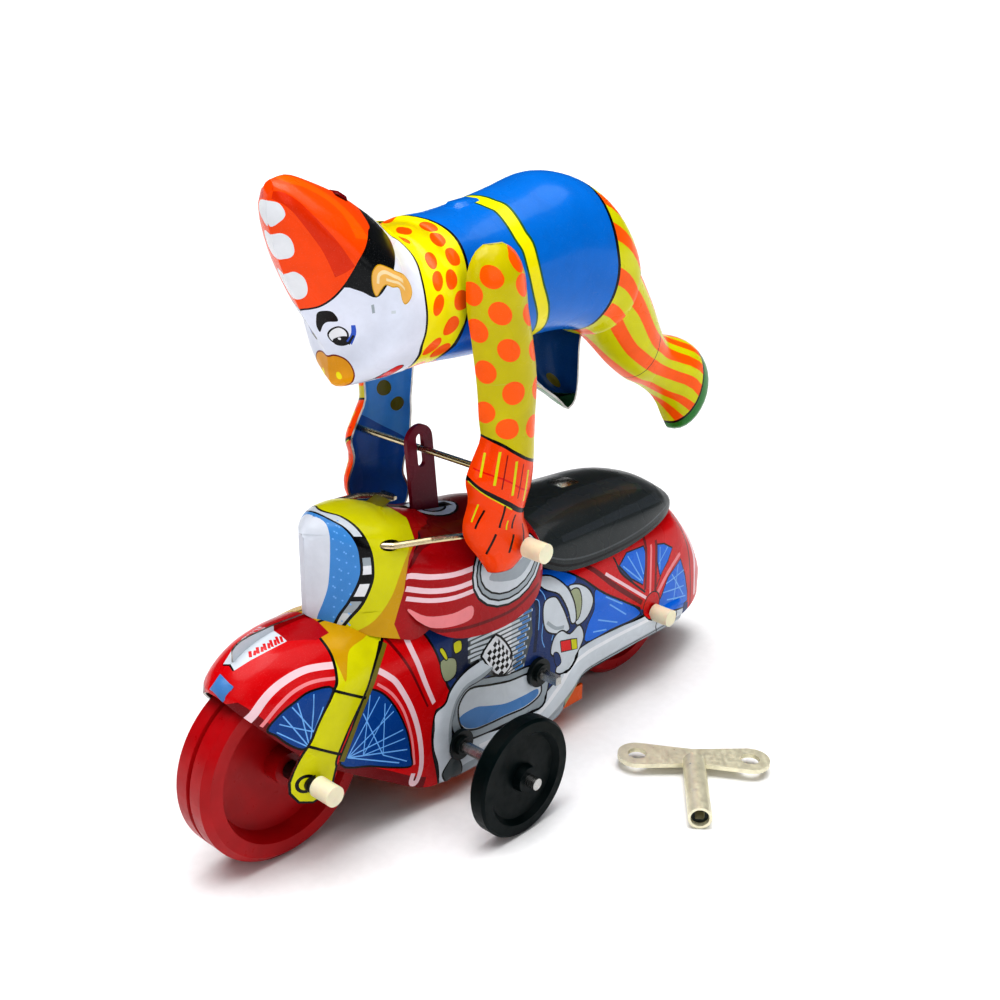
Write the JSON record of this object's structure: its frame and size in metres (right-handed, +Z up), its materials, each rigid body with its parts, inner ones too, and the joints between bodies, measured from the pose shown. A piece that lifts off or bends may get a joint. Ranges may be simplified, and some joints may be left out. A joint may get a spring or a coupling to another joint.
{
  "type": "wind up tin toy",
  "caption": "Wind up pressed tin motorcycle with a clown that balances and rocks on the handlebar, clockwork drive wheels and a loose key.",
  "frame": {"origin": "middle of the whole toy's box at floor level, the loose key included", "axes": "+X towards the motorcycle's front wheel, +Y towards its left side, where the key lies, +Z up"},
  "size_m": [0.1876, 0.1156, 0.156],
  "materials": {
    "bike_tin": "glossy printed tin, red with litho detail",
    "base_tin": "glossy orange tin",
    "clown_tin": "glossy printed tin, blue with litho detail",
    "arm_tin": "glossy printed tin, yellow with orange dots",
    "lever_paint": "maroon painted steel",
    "red_plastic": "semi gloss red plastic",
    "black_plastic": "satin black plastic",
    "ivory_plastic": "semi gloss ivory plastic",
    "steel": "plain steel",
    "brass": "stamped brass",
    "wire": "nickel plated wire with a warm tint",
    "nickel": "nickel plated stamping",
    "spring_steel": "blued spring steel"
  },
  "bodies": {
    "chassis": {"body_left": "bike_tin", "body_right": "bike_tin", "base_plate": "base_tin", "front_axle": "steel", "rear_axle": "steel", "front_axle_caps": "ivory_plastic", "rear_axle_caps": "ivory_plastic", "wheel_spacers": "steel", "axle_bushes": "black_plastic", "arbor_bush": "black_plastic", "motor_plate_left": "steel", "motor_plate_right": "steel", "motor_pillars": "brass", "lever_pin": "steel", "mainspring": "spring_steel", "handlebar": "wire", "handlebar_caps": "ivory_plastic"},
    "front_roller": {"front_wheel": "red_plastic"},
    "rear_roller": {"rear_wheel": "red_plastic"},
    "drive": {"drive_axle": "steel", "drive_wheel_left": "black_plastic", "drive_wheel_right": "black_plastic", "drive_pinion": "brass"},
    "idler": {"idler_shaft": "steel", "idler_pinion": "brass", "idler_gear": "brass", "crank_disc": "steel"},
    "barrel": {"main_gear": "brass", "click": "steel"},
    "winder": {"winding_arbor": "steel", "ratchet_wheel": "brass"},
    "swing": {"lever": "lever_paint"},
    "rider": {"clown_left": "clown_tin", "clown_right": "clown_tin", "arm_left": "arm_tin", "arm_right": "arm_tin", "crossbar": "wire"},
    "loose_key": {"key": "nickel"}
  },
  "joints": [
    {"name": "front_wheel_spin", "type": "hinge", "parent": "chassis", "child": "front_roller", "pos_m": [0.07025, -0.0144, 0.0235], "axis": [0, 1, 0], "continuous": true},
    {"name": "rear_wheel_spin", "type": "hinge", "parent": "chassis", "child": "rear_roller", "pos_m": [-0.05525, -0.0144, 0.023], "axis": [0, 1, 0], "continuous": true},
    {"name": "drive_spin", "type": "hinge", "parent": "chassis", "child": "drive", "pos_m": [0.0259, -0.0144, 0.0152], "axis": [0, 1, 0], "continuous": true},
    {"name": "idler_spin", "type": "hinge", "parent": "chassis", "child": "idler", "pos_m": [0.01505, -0.0144, 0.0216], "axis": [0, 1, 0], "continuous": true},
    {"name": "main_gear_spin", "type": "hinge", "parent": "chassis", "child": "barrel", "pos_m": [-0.0034, -0.0144, 0.024], "axis": [0, 1, 0], "continuous": true},
    {"name": "winding", "type": "hinge", "parent": "chassis", "child": "winder", "pos_m": [-0.0034, -0.0144, 0.024], "axis": [0, 1, 0], "continuous": true},
    {"name": "lever_swing", "type": "hinge", "parent": "chassis", "child": "swing", "pos_m": [0.01675, -0.0144, 0.034], "axis": [0, 1, 0], "range_deg": [-5.4, 8]},
    {"name": "rider_rock", "type": "hinge", "parent": "chassis", "child": "rider", "pos_m": [0.01225, -0.0144, 0.0675], "axis": [0, 1, 0], "range_deg": [-13.5, 20]},
    {"name": "key_lift", "type": "slide", "parent": "chassis", "child": "loose_key", "axis": [0, 0, 1], "range_m": [0, 0.06]}
  ],
  "couplings": [
    {"joint": "idler_spin", "follows": "drive_spin", "ratio": -0.3125},
    {"joint": "main_gear_spin", "follows": "drive_spin", "ratio": 0.060096},
    {"joint": "rider_rock", "follows": "lever_swing", "ratio": 2.5}
  ]
}
